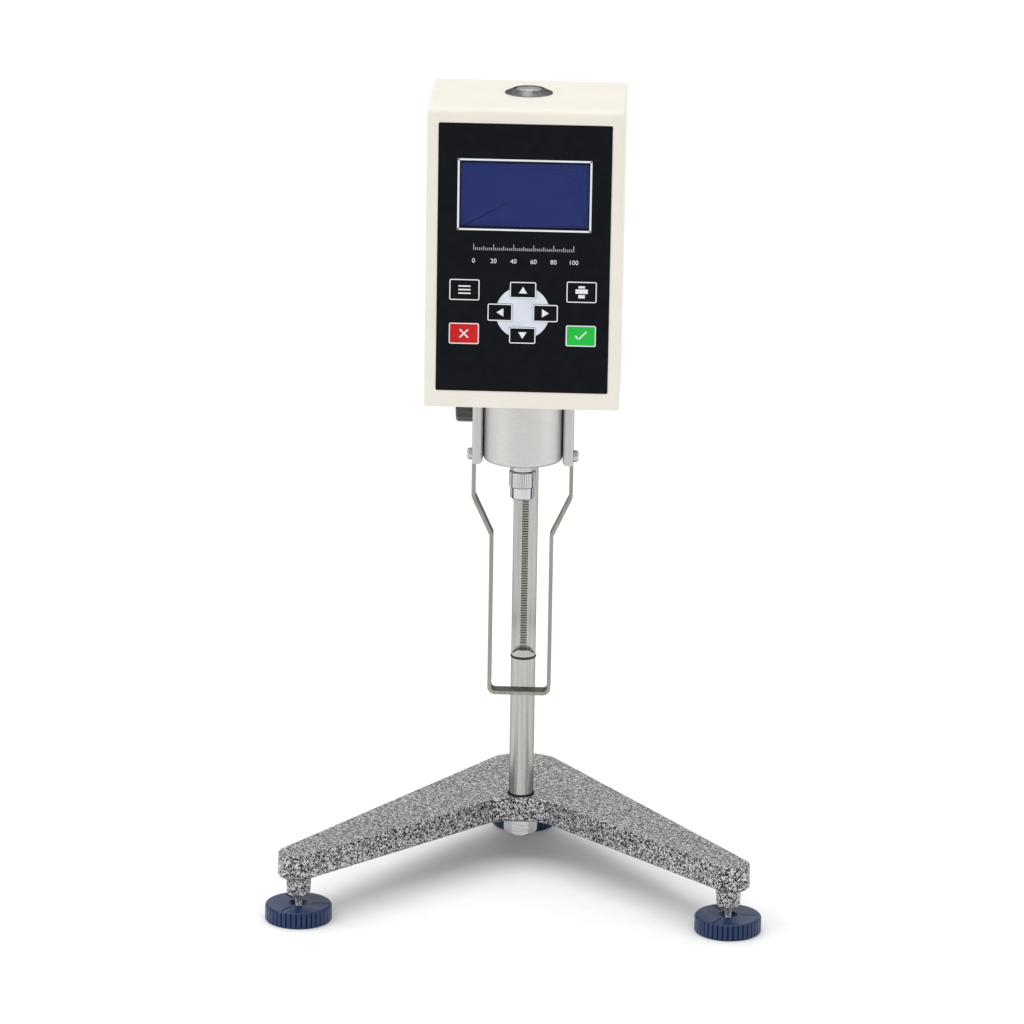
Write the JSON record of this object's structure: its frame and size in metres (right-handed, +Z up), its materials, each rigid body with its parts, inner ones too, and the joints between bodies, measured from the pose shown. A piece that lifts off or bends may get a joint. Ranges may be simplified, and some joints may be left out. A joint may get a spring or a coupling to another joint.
{
  "type": "rotational viscometer",
  "caption": "Rotational viscometer: an ivory head with display and keypad on a rack-and-pinion column, a strap guard round the spindle coupling and a V-shaped cast base with levelling knobs",
  "frame": {"origin": "on the table, under the middle of the three feet: midway between left and right foot and midway between the front and the rear foot line, which is the centre of the bounding box's underside", "axes": "+Z up along the column, -Y towards the person reading the display, +X to that person's right"},
  "size_m": [0.2674, 0.2034, 0.45],
  "materials": {
    "base_enamel": "speckled hammer enamel over cast iron, semi-gloss",
    "column_steel": "ground stainless bar with fine lengthwise grain",
    "rack_steel": "milled bright steel, darker in the tooth gaps",
    "chrome": "polished chrome plate",
    "guard_steel": "bent stainless strip, warm grey satin",
    "housing_aluminium": "turned and satin anodised, clear",
    "carriage_aluminium": "milled and satin anodised",
    "brass": "turned brass, plain",
    "steel": "bright steel, lightly brushed",
    "black_steel": "blackened steel, satin",
    "ivory_shell": "fine-grained moulded shell, ivory",
    "black_panel": "printed membrane, near-black satin",
    "display_blue": "blue negative display under a clear pane",
    "window_clear": "clear acrylic pane",
    "key_grey": "printed key cap, dark grey with a pale rim",
    "key_red": "printed key cap, red with a pale rim",
    "key_green": "printed key cap, green with a pale rim",
    "knob_blue": "moulded plastic, navy blue, semi-gloss",
    "knob_black": "moulded plastic, near-black",
    "board_green": "circuit board with solder mask",
    "o_ring_rubber": "black rubber",
    "level_glass": "round vial with a yellow-green liquid",
    "switch_black": "moulded plastic, black, semi-gloss",
    "spring_bronze": "beryllium bronze strip, bright"
  },
  "bodies": {
    "stand": {"base_casting": "base_enamel", "column": "column_steel", "column_rack": "rack_steel", "column_stop_ring": "o_ring_rubber", "column_foot_washer": "black_steel", "column_nut": "steel", "column_cap": "knob_black"},
    "carriage": {"lift_block": "carriage_aluminium", "lift_bushes": "brass", "rod_clamp_screw": "black_steel"},
    "pinion": {"pinion_shaft": "steel", "lift_knob": "knob_black", "tension_nut": "steel"},
    "drive": {"drive_shaft": "steel", "hairspring": "spring_bronze"},
    "spindle": {"spindle_shaft": "steel", "coupling_sleeve": "chrome", "coupling_connector": "chrome"},
    "rocker": {"power_rocker": "switch_black"},
    "foot_screw_left": {"levelling_screw_left": "steel"},
    "foot_knob_left": {"levelling_knob_left": "knob_blue"},
    "foot_screw_right": {"levelling_screw_right": "steel"},
    "foot_knob_right": {"levelling_knob_right": "knob_blue"},
    "foot_screw_rear": {"levelling_screw_rear": "steel"},
    "foot_knob_rear": {"levelling_knob_rear": "knob_blue"},
    "menu_key": {"key_menu": "key_grey"},
    "print_key": {"key_print": "key_grey"},
    "quit_key": {"key_quit": "key_red"},
    "enter_key": {"key_enter": "key_green"},
    "up_key": {"key_up": "key_grey"},
    "down_key": {"key_down": "key_grey"},
    "left_key": {"key_left": "key_grey"},
    "right_key": {"key_right": "key_grey"},
    "head": {"head_rod": "steel", "rod_bracket": "carriage_aluminium", "chassis_plate": "carriage_aluminium", "head_shell": "ivory_shell", "rear_cover": "ivory_shell", "cover_screws": "black_steel", "front_panel": "black_panel", "display_window": "window_clear", "display_glass": "display_blue", "display_module": "board_green", "key_board": "board_green", "spindle_housing": "housing_aluminium", "spindle_bearing": "brass", "disc_sensors": "switch_black", "motor_pillars": "brass", "drive_motor": "steel", "main_board": "board_green", "guard_post_left": "housing_aluminium", "guard_post_right": "housing_aluminium", "guard_strap": "guard_steel", "guard_screws": "chrome", "level_bezel": "chrome", "level_vial": "level_glass", "switch_frame": "switch_black", "power_inlet": "steel", "printer_port": "steel"}
  },
  "joints": [
    {"name": "head_lift", "type": "slide", "parent": "stand", "child": "carriage", "axis": [0, 0, 1], "range_m": [-0.11, 0.08]},
    {"name": "lift_knob_turn", "type": "hinge", "parent": "carriage", "child": "pinion", "pos_m": [0, 0.01765, 0.268], "axis": [1, 0, 0], "range_deg": [-1133, 1558]},
    {"name": "head_tilt", "type": "hinge", "parent": "carriage", "child": "head", "pos_m": [0, 0, 0.304], "axis": [0, 1, 0], "range_deg": [-8, 8]},
    {"name": "motor_turn", "type": "hinge", "parent": "head", "child": "drive", "pos_m": [0, -0.04385, 0.285], "axis": [0, 0, -1], "continuous": true},
    {"name": "torque_deflection", "type": "hinge", "parent": "drive", "child": "spindle", "pos_m": [0, -0.04385, 0.268], "axis": [0, 0, 1], "range_deg": [-4, 88], "stiffness_Nm_per_rad": 0.00048},
    {"name": "power_switch", "type": "hinge", "parent": "head", "child": "rocker", "pos_m": [0.03, -0.01335, 0.322], "axis": [1, 0, 0], "range_deg": [0, 18]},
    {"name": "foot_left_height", "type": "slide", "parent": "stand", "child": "foot_screw_left", "axis": [0, 0, 1], "range_m": [-0.003, 0.003]},
    {"name": "foot_left_turn", "type": "hinge", "parent": "foot_screw_left", "child": "foot_knob_left", "pos_m": [-0.1157, -0.08375, 0], "axis": [0, 0, 1], "range_deg": [-1544, 1544]},
    {"name": "foot_right_height", "type": "slide", "parent": "stand", "child": "foot_screw_right", "axis": [0, 0, 1], "range_m": [-0.003, 0.003]},
    {"name": "foot_right_turn", "type": "hinge", "parent": "foot_screw_right", "child": "foot_knob_right", "pos_m": [0.1157, -0.08375, 0], "axis": [0, 0, 1], "range_deg": [-1544, 1544]},
    {"name": "foot_rear_height", "type": "slide", "parent": "stand", "child": "foot_screw_rear", "axis": [0, 0, 1], "range_m": [-0.003, 0.003]},
    {"name": "foot_rear_turn", "type": "hinge", "parent": "foot_screw_rear", "child": "foot_knob_rear", "pos_m": [0, 0.08375, 0], "axis": [0, 0, 1], "range_deg": [-1544, 1544]},
    {"name": "key_menu_press", "type": "slide", "parent": "head", "child": "menu_key", "axis": [0, 1, 0], "range_m": [0, 0.0004], "stiffness_N_per_m": 400},
    {"name": "key_print_press", "type": "slide", "parent": "head", "child": "print_key", "axis": [0, 1, 0], "range_m": [0, 0.0004], "stiffness_N_per_m": 400},
    {"name": "key_quit_press", "type": "slide", "parent": "head", "child": "quit_key", "axis": [0, 1, 0], "range_m": [0, 0.0004], "stiffness_N_per_m": 400},
    {"name": "key_enter_press", "type": "slide", "parent": "head", "child": "enter_key", "axis": [0, 1, 0], "range_m": [0, 0.0004], "stiffness_N_per_m": 400},
    {"name": "key_up_press", "type": "slide", "parent": "head", "child": "up_key", "axis": [0, 1, 0], "range_m": [0, 0.0004], "stiffness_N_per_m": 400},
    {"name": "key_down_press", "type": "slide", "parent": "head", "child": "down_key", "axis": [0, 1, 0], "range_m": [0, 0.0004], "stiffness_N_per_m": 400},
    {"name": "key_left_press", "type": "slide", "parent": "head", "child": "left_key", "axis": [0, 1, 0], "range_m": [0, 0.0004], "stiffness_N_per_m": 400},
    {"name": "key_right_press", "type": "slide", "parent": "head", "child": "right_key", "axis": [0, 1, 0], "range_m": [0, 0.0004], "stiffness_N_per_m": 400}
  ],
  "couplings": [
    {"joint": "lift_knob_turn", "follows": "head_lift", "rad_per_m": -246.91},
    {"joint": "foot_left_turn", "follows": "foot_left_height", "rad_per_m": 8976},
    {"joint": "foot_right_turn", "follows": "foot_right_height", "rad_per_m": 8976},
    {"joint": "foot_rear_turn", "follows": "foot_rear_height", "rad_per_m": 8976}
  ]
}
